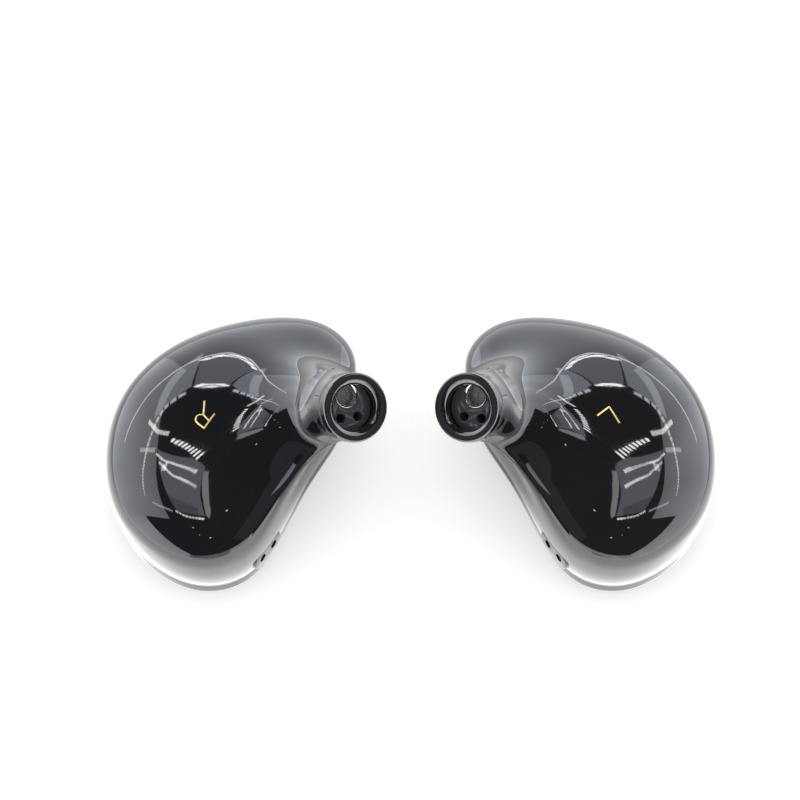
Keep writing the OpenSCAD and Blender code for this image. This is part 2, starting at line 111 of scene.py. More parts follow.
lean = math.radians(form["lean"])
heading = math.radians(form["heading"])
axis = Vector((math.sin(lean) * math.cos(heading), math.sin(lean) * math.sin(heading),
               math.cos(lean)))
across = Vector((math.cos(lean) * math.cos(heading), math.cos(lean) * math.sin(heading),
                 -math.sin(lean)))
aside = axis.cross(across)
seat = Vector(form["seat"])
points = form["outline"]
# From an earpiece's own millimetres to the right earpiece's place in metres
earpiece = Matrix.Scale(mm, 4) @ Matrix.Translation((-form["pairOffset"], 0, 0))
nozzleFrame = (Matrix.Translation(seat)
               @ Matrix((across, aside, axis)).transposed().to_4x4())


# A closed curve drawn near the given pairs, u counted in pairs
def spline(pairs, u):
    k = math.floor(u)
    t = u - k
    weights = (
        (1 - t) ** 3,
        3 * t ** 3 - 6 * t * t + 4,
        -3 * t ** 3 + 3 * t * t + 3 * t + 1,
        t ** 3,
    )
    total = Vector((0, 0))
    for i, weight in enumerate(weights):
        total += Vector(pairs[(k + i - 1) % len(pairs)]) * weight / 6
    return total


def outlineAt(u):
    spot = spline(points, u)
    return Vector((spot.x * form["width"] / 2, spot.y * form["length"] / 2, 0))


def outward(u):
    nudge = 0.05
    along = outlineAt(u + nudge) - outlineAt(u - nudge)
    return Vector((along.y, -along.x, 0)).normalized()


def bezier(a, b, c, d, t):
    return (1 - t) ** 3 * a + 3 * (1 - t) ** 2 * t * b + 3 * (1 - t) * t * t * c + t ** 3 * d


# A point of the shell: share goes round it, low goes from the faceplate to the belly, high from
# the belly to the nozzle's seat, and inset is how far it lies inside the skin
def wallPoint(share, inset, low=0, high=0):
    u = share * len(points)
    edge = outlineAt(u) - inset * outward(u)
    foot = outlineAt(u) * form["footShare"] - inset * outward(u)
    belly = edge + Vector((0, 0, form["bellyZ"]))
    if high == 0:
        height = form["bellyZ"] - form["faceplate"]
        start = foot + Vector((0, 0, form["faceplate"]))
        out = (edge - foot) * form["footPull"] + Vector((0, 0, height * form["footLift"]))
        under = belly - Vector((0, 0, height * form["bellyLift"]))
        return bezier(start, start + out, under, belly, low)
    turn = 2 * math.pi * share + math.radians(form["seatStart"])
    seatR = form["boreR"] if inset else form["seatR"]
    end = seat + seatR * (math.cos(turn) * across + math.sin(turn) * aside)
    ease = 1 - math.exp(-(end - belly).to_2d().length / form["blend"])
    rise, reach = spline(form["shoulder"], u)
    up = Vector((0, 0, (form["rise"] * rise - form["innerDrop"] * inset) * ease))
    back = form["reach"] * reach * ease * axis + Vector((0, 0, inset * form["innerTuck"]))
    return bezier(belly, belly + up, end - back, end, high)


# Small helpers for modelling as by hand, all in millimetres
mergeGap = 0.0005
hair = 0.001
overcut = 1  # how far a cutter goes past what it cuts


def pick(piece):
    bpy.ops.object.select_all(action="DESELECT")
    piece.select_set(True)
    bpy.context.view_layer.objects.active = piece


def editAll(piece):
    pick(piece)
    bpy.ops.object.mode_set(mode="EDIT")
    bpy.ops.mesh.select_all(action="SELECT")


def editSome(piece, kind, test):
    pick(piece)
    bpy.ops.object.mode_set(mode="EDIT")
    bpy.ops.mesh.select_mode(type=kind)
    bpy.ops.mesh.select_all(action="DESELECT")
    bpy.ops.object.mode_set(mode="OBJECT")
    mesh = piece.data
    if kind == "FACE":
        for face in mesh.polygons:
            face.select = test(face)
    else:
        for edge in mesh.edges:
            ends = [mesh.vertices[i].co for i in edge.vertices]
            edge.select = test(*ends)
    bpy.ops.object.mode_set(mode="EDIT")


def closeUp(piece):
    editAll(piece)
    bpy.ops.mesh.remove_doubles(threshold=mergeGap)
    bpy.ops.mesh.normals_make_consistent(inside=False)
    bpy.ops.object.mode_set(mode="OBJECT")


def smooth(piece, angle=35):
    pick(piece)
    bpy.ops.object.shade_smooth_by_angle(angle=math.radians(angle))


def cut(piece, tool):
    pick(piece)
    knife = piece.modifiers.new("cut", "BOOLEAN")
    knife.operation = "DIFFERENCE"
    knife.solver = "EXACT"
    knife.object = tool
    bpy.ops.object.modifier_apply(modifier="cut")
    bpy.data.objects.remove(tool, do_unlink=True)


def addCylinder(radius, bottom, top, x=0, y=0, steps=48):
    bpy.ops.mesh.primitive_cylinder_add(vertices=steps, radius=radius, depth=top - bottom,
                                        location=(x, y, (bottom + top) / 2))
    return bpy.context.object


# A closed profile of radius and height, turned about the Z axis
def turned(profile, steps):
    bpy.ops.mesh.primitive_circle_add(vertices=len(profile), fill_type="NOTHING")
    piece = bpy.context.object
    for vertex, (radius, height) in zip(piece.data.vertices, profile):
        vertex.co = (radius, 0, height)
    editAll(piece)
    bpy.ops.mesh.spin(steps=steps, angle=2 * math.pi, center=(0, 0, 0), axis=(0, 0, 1))
    bpy.ops.object.mode_set(mode="OBJECT")
    closeUp(piece)
    return piece


# Points of a profile round a corner, between two angles in degrees
def arc(x, z, radius, start, end, steps):
    turns = [math.radians(start + (end - start) * i / steps) for i in range(steps + 1)]
    return [(x + radius * math.cos(turn), z + radius * math.sin(turn)) for turn in turns]


# Small helpers for materials
def newMaterial(name):
    material = bpy.data.materials.new(name)
    material.use_nodes = True
    tree = material.node_tree
    place = tree.nodes.new("ShaderNodeTexCoord").outputs["Object"]
    return material, tree, tree.nodes["Principled BSDF"], place


# Joins a node's output to an input, or sets that input to a plain number
def feed(tree, value, target):
    if isinstance(value, (int, float)):
        target.default_value = value
    else:
        tree.links.new(value, target)


def addNoise(tree, place, scale, detail, rough=0.5):
    noise = tree.nodes.new("ShaderNodeTexNoise")
    noise.inputs["Scale"].default_value = scale
    noise.inputs["Detail"].default_value = detail
    noise.inputs["Roughness"].default_value = rough
    tree.links.new(place, noise.inputs["Vector"])
    return noise.outputs["Fac"]


# A ramp between two tints, each given with its place
def addRamp(tree, value, stops):
    ramp = tree.nodes.new("ShaderNodeValToRGB")
    for element, (position, colour) in zip(ramp.color_ramp.elements, stops):
        element.position = position
        element.color = (*colour, 1)
    tree.links.new(value, ramp.inputs["Fac"])
    return ramp.outputs["Color"]


def addRange(tree, value, low, high, start=0, end=1):
    span = tree.nodes.new("ShaderNodeMapRange")
    span.inputs["From Min"].default_value = start
    span.inputs["From Max"].default_value = end
    span.inputs["To Max"].default_value = high
    feed(tree, low, span.inputs["To Min"])
    tree.links.new(value, span.inputs["Value"])
    return span.outputs["Result"]


def addMapping(tree, place, scale, shift=(0, 0, 0)):
    mapping = tree.nodes.new("ShaderNodeMapping")
    mapping.inputs["Scale"].default_value = scale
    mapping.inputs["Location"].default_value = shift
    tree.links.new(place, mapping.inputs["Vector"])
    return mapping.outputs["Vector"]


def addMaths(tree, operation, *values):
    maths = tree.nodes.new("ShaderNodeMath")
    maths.operation = operation
    for value, target in zip(values, maths.inputs):
        feed(tree, value, target)
    return maths.outputs[0]


def addBump(tree, shader, height, distance, strength):
    bump = tree.nodes.new("ShaderNodeBump")
    bump.inputs["Strength"].default_value = strength
    bump.inputs["Distance"].default_value = distance
    tree.links.new(height, bump.inputs["Height"])
    tree.links.new(bump.outputs["Normal"], shader.inputs["Normal"])


# A noise is given as its scale, its detail and, where it matters, its roughness
lacquer = {
    "tints": [(0.35, (0.009, 0.010, 0.012)), (0.7, (0.014, 0.013, 0.014))],
    "clouds": (60, 3),
    "smudges": (220, 5, 0.6),
    "gloss": 0.015,
    "haze": 0.05,
    "peel": (900, 2),
    "peelDepth": 0.000004,
    "peelStrength": 0.5,
    "coat": 0.6,
    "coatGloss": 0.01,
    "coatDensity": 1.5,
}


def makeLacquer(name, density):
    material, tree, shader, place = newMaterial(name)
    clouds = addNoise(tree, place, *lacquer["clouds"])
    tint = addRamp(tree, clouds, lacquer["tints"])
    tree.links.new(tint, shader.inputs["Base Color"])
    smudges = addNoise(tree, place, *lacquer["smudges"])
    rough = addRange(tree, smudges, lacquer["gloss"], lacquer["haze"])
    tree.links.new(rough, shader.inputs["Roughness"])
    peel = addNoise(tree, place, *lacquer["peel"])
    addBump(tree, shader, peel, lacquer["peelDepth"], lacquer["peelStrength"])
    shader.inputs["IOR"].default_value = density
    shader.inputs["Coat Weight"].default_value = lacquer["coat"]
    shader.inputs["Coat Roughness"].default_value = lacquer["coatGloss"]
    shader.inputs["Coat IOR"].default_value = lacquer["coatDensity"]
    return material


plastic = {
    "spread": (0.3, 0.8),
    "paler": 1.25,
    "haze": 0.002,
    "cloudSize": 8,  # in grains
    "cloudDetail": 3,
    "grainDetail": 4,
    "smooth": 0.8,
    "coarse": 1.2,
    "grainDepth": 0.00001,
    "grainStrength": 0.4,
}


def makePlastic(name, colour, roughness, grain=2500):
    material, tree, shader, place = newMaterial(name)
    clouds = addNoise(tree, place, grain / plastic["cloudSize"], plastic["cloudDetail"])
    paler = tuple(channel * plastic["paler"] + plastic["haze"] for channel in colour)
    tint = addRamp(tree, clouds, zip(plastic["spread"], (colour, paler)))
    tree.links.new(tint, shader.inputs["Base Color"])
    fine = addNoise(tree, place, grain, plastic["grainDetail"])
    rough = addRange(tree, fine, roughness * plastic["smooth"], roughness * plastic["coarse"])
    tree.links.new(rough, shader.inputs["Roughness"])
    addBump(tree, shader, fine, plastic["grainDepth"], plastic["grainStrength"])
    return material


metal = {
    "spread": (0.35, 0.65),
    "darker": 0.85,
    "clouds": (700, 3),
    "smooth": 0.7,
    "coarse": 1.4,
    "grain": (6000, 2),
    "grainDepth": 0.000004,
    "grainStrength": 0.4,
}


def makeMetal(name, colour, roughness, metallic=1):
    material, tree, shader, place = newMaterial(name)
    clouds = addNoise(tree, place, *metal["clouds"])
    darker = tuple(channel * metal["darker"] for channel in colour)
    tint = addRamp(tree, clouds, zip(metal["spread"], (darker, colour)))
    tree.links.new(tint, shader.inputs["Base Color"])
    rough = addRange(tree, clouds, roughness * metal["smooth"], roughness * metal["coarse"])
    tree.links.new(rough, shader.inputs["Roughness"])
    grain = addNoise(tree, place, *metal["grain"])
    addBump(tree, shader, grain, metal["grainDepth"], metal["grainStrength"])
    shader.inputs["Metallic"].default_value = metallic
    return material


tube = {
    "tints": [(0.3, (0.86, 0.88, 0.86)), (0.7, (0.93, 0.94, 0.92))],
    "clouds": (900, 3),
    "gloss": 0.12,
    "haze": 0.25,
    "clarity": 0.7,
    "density": 1.41,
}


def makeClearTube():
    material, tree, shader, place = newMaterial("clearTube")
    clouds = addNoise(tree, place, *tube["clouds"])
    tint = addRamp(tree, clouds, tube["tints"])
    tree.links.new(tint, shader.inputs["Base Color"])
    rough = addRange(tree, clouds, tube["gloss"], tube["haze"])
    tree.links.new(rough, shader.inputs["Roughness"])
    shader.inputs["Transmission Weight"].default_value = tube["clarity"]
    shader.inputs["IOR"].default_value = tube["density"]
    return material


damper = {
    "tints": [(0.15, (0.32, 0.31, 0.29)), (0.5, (0.1, 0.1, 0.09))],
    "weave": 9000,
    "rough": 0.7,
    "weaveDepth": 0.00003,
    "weaveStrength": 0.6,
}


def makeDamperMesh():
    material, tree, shader, place = newMaterial("damperMesh")
    weave = tree.nodes.new("ShaderNodeTexVoronoi")
    weave.inputs["Scale"].default_value = damper["weave"]
    tree.links.new(place, weave.inputs["Vector"])
    tint = addRamp(tree, weave.outputs["Distance"], damper["tints"])
    tree.links.new(tint, shader.inputs["Base Color"])
    shader.inputs["Roughness"].default_value = damper["rough"]
    addBump(tree, shader, weave.outputs["Distance"], damper["weaveDepth"],
            damper["weaveStrength"])
    return material


# Each finish, with its colour and roughness; a lacquer has only its density, and the marks' gold
# is half a paint
blackLacquer = makeLacquer("blackLacquer", 1.5)
spoutLacquer = makeLacquer("spoutLacquer", 1.8)
socketBlack = makeLacquer("socketBlack", 1.5)
plugBlack = makePlastic("plugBlack", (0.045, 0.048, 0.054), 0.12)
polishedSteel = makeMetal("polishedSteel", (0.72, 0.71, 0.70), 0.12)
markGold = makeMetal("markGold", (0.9, 0.67, 0.24), 0.3, 0.55)
contactGold = makeMetal("contactGold", (0.86, 0.62, 0.24), 0.18)
driverCan = makeMetal("driverCan", (0.62, 0.62, 0.64), 0.3)
cradleResin = makePlastic("cradleResin", (0.6, 0.62, 0.56), 0.3, 1200)
boardGreen = makePlastic("boardGreen", (0.02, 0.1, 0.05), 0.35, 4000)
chipCeramic = makePlastic("chipCeramic", (0.25, 0.16, 0.1), 0.5, 5000)
wireEnamel = makePlastic("wireEnamel", (0.42, 0.1, 0.04), 0.25, 3000)
clearTube = makeClearTube()
damperMesh = makeDamperMesh()
print("materials made")

# The lofted shell: one skin from the faceplate up to the nozzle's seat and down again inside
skin = {
    "around": 240,
    "lowRows": 14,  # up to the belly, and from there to the seat
    "highRows": 60,
    "innerHigh": 20,  # and the same way down inside
    "innerLow": 4,
}


def shellPoint(share, row):
    if row <= skin["lowRows"]:
        return wallPoint(share, 0, low=row / skin["lowRows"])
    row -= skin["lowRows"]
    if row <= skin["highRows"]:
        return wallPoint(share, 0, high=row / skin["highRows"])
    row -= skin["highRows"] + 1
    if row < skin["innerHigh"]:
        return wallPoint(share, form["wall"], high=1 - row / skin["innerHigh"])
    row -= skin["innerHigh"]
    return wallPoint(share, form["wall"], low=1 - row / skin["innerLow"])


def makeShell():
    rows = skin["lowRows"] + skin["highRows"] + skin["innerHigh"] + skin["innerLow"] + 2
    bpy.ops.mesh.primitive_grid_add(x_subdivisions=skin["around"], y_subdivisions=rows, size=1)
    shell = bpy.context.object
    for vertex in shell.data.vertices:
        share = round((vertex.co.x + 0.5) * skin["around"]) / skin["around"]
        row = round((vertex.co.y + 0.5) * rows) % rows
        vertex.co = shellPoint(share, row)
    closeUp(shell)
    return shell


shell = makeShell()
print("shell lofted:", len(shell.data.vertices), "points")

# The faceplate: the outline extruded, with its outer rim rounded
faceplate = {
    "rim": 0.5,
    "rimSteps": 6,
    "around": 240,
}


def makeFaceplate():
    around = faceplate["around"]
    bpy.ops.mesh.primitive_circle_add(vertices=around, fill_type="NGON")
    plate = bpy.context.object
    for i, vertex in enumerate(plate.data.vertices):
        vertex.co = outlineAt(i / around * len(points)) * form["footShare"]
    editAll(plate)
    up = (0, 0, form["faceplate"])
    bpy.ops.mesh.extrude_region_move(TRANSFORM_OT_translate={"value": up})
    bpy.ops.object.mode_set(mode="OBJECT")
    closeUp(plate)
    editSome(plate, "EDGE", lambda a, b: max(a.z, b.z) < hair)
    bpy.ops.mesh.bevel(offset=faceplate["rim"], segments=faceplate["rimSteps"])
    bpy.ops.object.mode_set(mode="OBJECT")
    return plate


plate = makeFaceplate()
print("faceplate extruded")

# The nozzle, turned with a lip at its mouth, rounded down into it
nozzle = {
    "length": 5,
    "stemR": 2.95,
    "lipR": 3.2,
    "lipH": 1.5,
    "lipRound": 0.2,
    "lipSteps": 10,
    "heel": 0.12,  # the small round under the lip
    "footH": 2,
    "footSteps": 12,
    "throatR": 2.08,
    "throatL": 0.1,
    "boreStart": 0.3,
    "mouthRound": 0.62,
    "mouthSteps": 12,
    "steps": 144,
}


def makeNozzle():
    stem = nozzle["stemR"]
    lip = nozzle["lipR"]
    top = nozzle["length"]
    bore = form["boreR"]
    foot = form["seatR"]
    bend = nozzle["lipRound"]
    under = top - nozzle["lipH"]
    heel = nozzle["heel"]
    throat = nozzle["throatR"]
    curl = nozzle["mouthRound"]
    profile = [(bore, 0)]
    for i in range(nozzle["footSteps"] + 1):
        up = i / nozzle["footSteps"]
        profile.append((stem + (foot - stem) * (1 - up) ** 2, nozzle["footH"] * up))
    profile += [(stem, under - heel), (lip - heel, under)]
    profile += [(lip - heel / 3, under + heel / 3), (lip, under + heel)]
    profile += arc(lip - bend, top - bend, bend, 0, 90, nozzle["lipSteps"])
    profile += arc(throat + curl, top - curl, curl, 90, 180, nozzle["mouthSteps"])
    profile += [(throat, top - curl - nozzle["throatL"]),
                (bore, top - curl - nozzle["boreStart"])]
    return turned(profile, nozzle["steps"])


nozzleBody = makeNozzle()
print("nozzle turned")

# The plug with the three sound bores
plug = {
    "mouthDepth": 1.6,
    "slip": 0.03,
    "bassR": 0.85,
    "bassOff": 1.08,
    "bassTurn": 163,
    "smallR": 0.43,
    "smallOff": 1.3,
    "smallTurns": (17, -67),
    "rim": 0.07,
    "steps": 96,
}

# The metal sleeve in the bass bore, with a flared end
sleeve = {
    "wall": 0.15,
    "length": 1.4,
    "proud": 0.15,
    "edge": 0.03,
    "seatGap": 0.01,
    "flareR": 1.13,
    "flareH": 0.28,
    "flareBend": 1.4,
    "flareSteps": 8,
    "steps": 64,
}

# The woven screen across the bass bore, a little way down and slightly domed
screen = {
    "depth": 0.7,
    "slip": 0.01,
    "slope": 0.35,
    "rise": 0.05,
    "thickness": 0.08,
    "steps": 64,
}
plugL = nozzle["length"] - plug["mouthDepth"]


def borePlace(turn, off):
    turn = math.radians(turn)
    return off * math.cos(turn), off * math.sin(turn)


bassPlace = borePlace(plug["bassTurn"], plug["bassOff"])


def makePlug():
    body = addCylinder(form["boreR"] - plug["slip"], 0, plugL, steps=plug["steps"])
    bpy.ops.object.transform_apply(location=True, rotation=False, scale=False)
    below = -overcut
    above = plugL + overcut
    cut(body, addCylinder(plug["bassR"], below, above, *bassPlace))
    cut(body, addCylinder(plug["bassR"] + sleeve["wall"], plugL - sleeve["length"],
                          plugL + sleeve["length"], *bassPlace))
    for turn in plug["smallTurns"]:
        x, y = borePlace(turn, plug["smallOff"])
        cut(body, addCylinder(plug["smallR"], below, above, x, y))
    editSome(body, "EDGE", lambda a, b: min(a.z, b.z) > plugL - hair)
    bpy.ops.mesh.bevel(offset=plug["rim"], segments=3)
    bpy.ops.object.mode_set(mode="OBJECT")
    return body


def makeSleeve():
    inner = plug["bassR"]
    outer = inner + sleeve["wall"]
    bottom = plugL - sleeve["length"]
    top = plugL + sleeve["proud"]
    seatZ = plugL + sleeve["seatGap"]
    edge = sleeve["edge"]
    rim = sleeve["flareR"]
    profile = [(inner, bottom), (outer, bottom), (outer, seatZ), (rim, seatZ)]
    profile += arc(rim - edge, top - edge, edge, 0, 90, 3)
    for i in range(1, sleeve["flareSteps"] + 1):
        down = i / sleeve["flareSteps"]
        profile.append((inner + (rim - edge - inner) * (1 - down) ** sleeve["flareBend"],
                        top - sleeve["flareH"] * down))
    ring = turned(profile, sleeve["steps"])
    ring.data.transform(Matrix.Translation((*bassPlace, 0)))
    return ring


def makeScreen():
    radius = plug["bassR"] - screen["slip"]
    bpy.ops.mesh.primitive_circle_add(vertices=screen["steps"], radius=radius,
                                      fill_type="NGON")
    disc = bpy.context.object
    editAll(disc)
    bpy.ops.mesh.inset(thickness=radius * screen["slope"])
    bpy.ops.transform.translate(value=(0, 0, screen["rise"]))
    bpy.ops.mesh.select_all(action="SELECT")
    down = (0, 0, -screen["thickness"])
    bpy.ops.mesh.extrude_region_move(TRANSFORM_OT_translate={"value": down})
    bpy.ops.object.mode_set(mode="OBJECT")
    closeUp(disc)
    disc.data.transform(Matrix.Translation((*bassPlace, plugL - screen["depth"])))
    return disc


plugBody = makePlug()
bassRing = makeSleeve()
bassScreen = makeScreen()
print("bores cut")

# The cable socket in the side of the shell, with two gold contacts
socket = {
    "at": 9.4,  # its place along the outline, counted in the outline's points
    "z": 3.2,
    "width": 4.2,
    "height": 2,
    "depth": 4,
    "proud": 0.04,
    "cornerR": 0.9,
    "cornerSteps": 12,
    "rim": 0.08,
    "pitch": 1.8,
    "pinR": 0.4,
    "pinSlip": 0.02,
    "sunk": 0.4,
    "contactWall": 0.2,
    "contactL": 4.1,
    "contactEnd": 0.6,
    "contactRim": 0.05,
    "contactMouth": 0.08,
    "tail": 0.5,
    "steps": 48,
}
pinPlaces = (-socket["pitch"] / 2, socket["pitch"] / 2)


# How far up the lower wall a height lies, found by halving
def lowShare(z):
    low = 0
    high = 1
    for _ in range(12):
        middle = (low + high) / 2
        if wallPoint(0, 0, low=middle).z < z:
            low = middle
        else:
            high = middle
    return (low + high) / 2


socketShare = socket["at"] / len(points)
socketMiddle = wallPoint(socketShare, 0, low=lowShare(socket["z"]))
socketMiddle.z = socket["z"]
socketOut = outward(socket["at"])
socketSide = Vector((-socketOut.y, socketOut.x, 0))
socketFrame = (Matrix.Translation(socketMiddle)
               @ Matrix((Vector((0, 0, -1)), socketSide, socketOut)).transposed().to_4x4())


def roundedBlock(height, width, top, bottom):
    bpy.ops.mesh.primitive_cube_add(size=1, location=(0, 0, (top + bottom) / 2),
                                    scale=(height, width, top - bottom))
    block = bpy.context.object
    bpy.ops.object.transform_apply(location=True, rotation=False, scale=True)
    editSome(block, "EDGE", lambda a, b: abs(a.z - b.z) > 0.1)
    bpy.ops.mesh.bevel(offset=socket["cornerR"], segments=socket["cornerSteps"])
    bpy.ops.object.mode_set(mode="OBJECT")
    return block


def makeSocket():
    block = roundedBlock(socket["height"], socket["width"], socket["proud"],
                         socket["proud"] - socket["depth"])
    editSome(block, "FACE", lambda face: face.normal.z > 0.9)
    bpy.ops.mesh.bevel(offset=socket["rim"], segments=3)
    bpy.ops.object.mode_set(mode="OBJECT")
    below = -2 * socket["depth"]
    contactTop = socket["proud"] - socket["sunk"]
    for y in pinPlaces:
        cut(block, addCylinder(socket["pinR"] + socket["pinSlip"], below, overcut, 0, y))
        cut(block, addCylinder(socket["pinR"] + socket["contactWall"], below, contactTop, 0, y))
    return block


def makeContacts():
    inner = socket["pinR"]
    outer = inner + socket["contactWall"]
    top = socket["proud"] - socket["sunk"]
    bottom = socket["proud"] - socket["contactL"]
    rim = socket["contactRim"]
    mouth = socket["contactMouth"]
    tailEnd = bottom - socket["tail"]
    holeEnd = bottom + socket["contactEnd"]
    profile = [(0, tailEnd), (inner, tailEnd), (inner, bottom), (outer, bottom),
               (outer, top - rim), (outer - rim, top), (inner + mouth, top),
               (inner, top - mouth), (inner, holeEnd), (0, holeEnd)]
    contact = turned(profile, socket["steps"])
    pair = []
    for y in pinPlaces:
        pick(contact)
        bpy.ops.object.duplicate()
        pair.append(bpy.context.object)
        pair[-1].data.transform(Matrix.Translation((0, y, 0)))
    bpy.data.objects.remove(contact, do_unlink=True)
    pick(pair[0])
    pair[1].select_set(True)
    bpy.ops.object.join()
    return bpy.context.object


socketBlock = makeSocket()
contacts = makeContacts()
slip = plug["slip"]
pocket = roundedBlock(socket["height"] + 2 * slip, socket["width"] + 2 * slip, socket["depth"],
                      -socket["depth"])
pocket.data.transform(socketFrame)
cut(shell, pocket)
print("socket set in its pocket")

# Channel marks: thin gold strokes let into the lacquer, in each letter's own millimetres
marks = {
    "right": {
        "place": (-1.67, 0.33),
        "turn": 148,
        "strokes": [[(-0.8, -0.6), (-0.8, 1.17), (0.05, 0.96), (0.34, 0.84), (0.53, 0.6),
                     (0.57, 0.32), (0.42, 0.08), (0.09, -0.06), (-0.75, 0.26)],
                    [(0.09, -0.06), (0.85, -1.4)]],
    },
    "left": {
        "place": (0.79, 0.15),
        "turn": -152,
        "strokes": [[(-0.6, 1.05), (-0.6, -0.9), (0.95, -0.43)]],
    },
    "strokeR": 0.105,
    "sink": 0.07,
    "gap": 0.12,  # between a stroke's points
    "dropFrom": 0.05,  # metres over the floor, from where the points fall on the lacquer
}


# A stroke's points, closely spaced
def spaced(stroke, gap):
    dots = [Vector(stroke[0])]
    for a, b in zip(stroke, stroke[1:]):
        a = Vector(a)
        b = Vector(b)
        steps = max(1, round((b - a).length / gap))
        for i in range(steps):
            dots.append(a.lerp(b, (i + 1) / steps))
    return dots


def makeMark(name, mark, surface, shift):
    curve = bpy.data.curves.new(name, "CURVE")
    curve.dimensions = "3D"
    curve.bevel_depth = marks["strokeR"] * mm
    curve.bevel_resolution = 3
    curve.use_fill_caps = True
    turn = Matrix.Rotation(math.radians(mark["turn"]), 2)
    down = Vector((0, 0, -1))
    for stroke in mark["strokes"]:
        dots = spaced(stroke, marks["gap"])
        line = curve.splines.new("POLY")
        line.points.add(len(dots) - 1)
        for point, dot in zip(line.points, dots):
            spot = turn @ dot + Vector(mark["place"])
            above = Vector((spot.x * mm + shift, spot.y * mm, marks["dropFrom"]))
            hit, normal, _, _ = surface.ray_cast(above, down)
            point.co = (*(hit - normal * marks["sink"] * mm), 1)
    letter = bpy.data.objects.new(name, curve)
    scene.collection.objects.link(letter)
    pick(letter)
    bpy.ops.object.convert(target="MESH")
    return bpy.context.object


# Every right piece goes to its place, and its mirror image makes the left one. Node is the
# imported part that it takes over, where there is one.
def finish(piece, name, place, node, material, angle=35):
    piece.name = "right_" + name
    piece.data.name = piece.name
    piece.data.transform(earpiece @ place)
    piece.data.materials.clear()
    piece.data.materials.append(material)
    smooth(piece, angle)
    pick(piece)
    bpy.ops.object.duplicate()
    twin = bpy.context.object
    twin.name = "left_" + name
    twin.data.name = twin.name
    editAll(twin)
    bpy.ops.transform.mirror(orient_type="GLOBAL", constraint_axis=(True, False, False),
                             center_override=(0, 0, 0))
    bpy.ops.mesh.flip_normals()
    bpy.ops.object.mode_set(mode="OBJECT")
    for side, made in (("right", piece), ("left", twin)):
        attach(made, side + "_earpiece")
        if node:
            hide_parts(side + "_" + node)
    return piece, twin


here = Matrix.Identity(4)
shells = finish(shell, "shellSkin", here, "shell", blackLacquer, 50)
finish(plate, "baseplate", here, "faceplate", blackLacquer)
finish(nozzleBody, "spout", nozzleFrame, "nozzle", spoutLacquer, 40)
finish(plugBody, "soundPlug", nozzleFrame, "bore_plug", plugBlack)
finish(bassRing, "bassRing", nozzleFrame, "bass_sleeve", polishedSteel, 60)
finish(bassScreen, "bassScreen", nozzleFrame, None, damperMesh)
finish(socketBlock, "cableSocket", socketFrame, "socket", socketBlack)
finish(contacts, "pinContacts", socketFrame, "socket_contacts", contactGold)

offsets = (-form["pairOffset"] * mm, form["pairOffset"] * mm)
for side, made, shift in zip(("right", "left"), shells, offsets):
    mesh = made.data
    surface = BVHTree.FromPolygons([v.co for v in mesh.vertices],
                                   [p.vertices for p in mesh.polygons])
    letter = makeMark(side + "_mark", marks[side], surface, shift)
    letter.data.materials.append(markGold)
    smooth(letter)
    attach(letter, side + "_earpiece")
print("pieces placed and mirrored")

# Finishes of the pieces inside
inside = {
    "dampers": damperMesh,
    "bass_tube": clearTube,
    "mid_tube": clearTube,
    "treble_tube": clearTube,
    "bass_driver": driverCan,
    "mid_driver": driverCan,
    "treble_driver": driverCan,
    "driver_cradle": cradleResin,
    "crossover_board": boardGreen,
    "crossover_parts": chipCeramic,
    "wires": wireEnamel,
}
for side in ("right_", "left_"):
    for name, material in inside.items():
        part = nodes[side + name]
        part.data.materials.clear()
        part.data.materials.append(material)
print("inner finishes set")

# The white room round the pair: daylight from all sides, and a pale floor
room = {
    "floor": 0.9,
    "floorSize": 6,
    "floorDrop": 0.00005,
    "floorRough": 0.9,
    "daylight": 1.0,
    "ceiling": 0.02,
    "glow": 0.4,  # what the camera sees of the floor besides its daylight
    "bounce": 1.9,  # how bright the floor is in reflections, in front and at the back
    "backBounce": 0.4,
    "backStart": -0.005,
    "backEnd": 0.03,
    "shade": 0.1,  # and in the shade between the earpieces
    "shadeMiddle": 0.012,
    "shadeSize": (0.026, 0.034),
    "shadeCore": 0.5,
}
white = (1, 1, 1)
cloud = (0.94, 0.98, 1.05)
cool = (0.92, 0.96, 1.1)
warm = (1, 0.8, 0.5)


def makeFloor():
    bpy.ops.mesh.primitive_plane_add(size=room["floorSize"], location=(0, 0, -room["floorDrop"]))
    floor = bpy.context.object
    floor.name = "floor"
    material, tree, shader, place = newMaterial("paperFloor")
    shader.inputs["Base Color"].default_value = (*[room["floor"]] * 3, 1)
    shader.inputs["Roughness"].default_value = room["floorRough"]
    shader.inputs["Specular IOR Level"].default_value = 0
    # In reflections the floor is bright in front and darker behind, with a shade in the middle
    depth = tree.nodes.new("ShaderNodeSeparateXYZ")
    tree.links.new(place, depth.inputs[0])
    lit = addRange(tree, depth.outputs["Y"], room["bounce"], room["backBounce"],
                   room["backStart"], room["backEnd"])
    wide, deep = room["shadeSize"]
    nearness = tree.nodes.new("ShaderNodeTexGradient")
    nearness.gradient_type = "SPHERICAL"
    centred = addMapping(tree, place, (1 / wide, 1 / deep, 1),
                         (0, -room["shadeMiddle"] / deep, 0))
    tree.links.new(centred, nearness.inputs["Vector"])
    bounce = addRange(tree, nearness.outputs["Fac"], lit, room["shade"], 0, room["shadeCore"])
    path = tree.nodes.new("ShaderNodeLightPath")
    seen = addMaths(tree, "MULTIPLY", path.outputs["Is Camera Ray"], room["glow"])
    glow = addMaths(tree, "MULTIPLY_ADD", path.outputs["Is Glossy Ray"], bounce, seen)
    tree.links.new(glow, shader.inputs["Emission Strength"])
    shader.inputs["Emission Color"].default_value = (*white, 1)
    floor.data.materials.append(material)


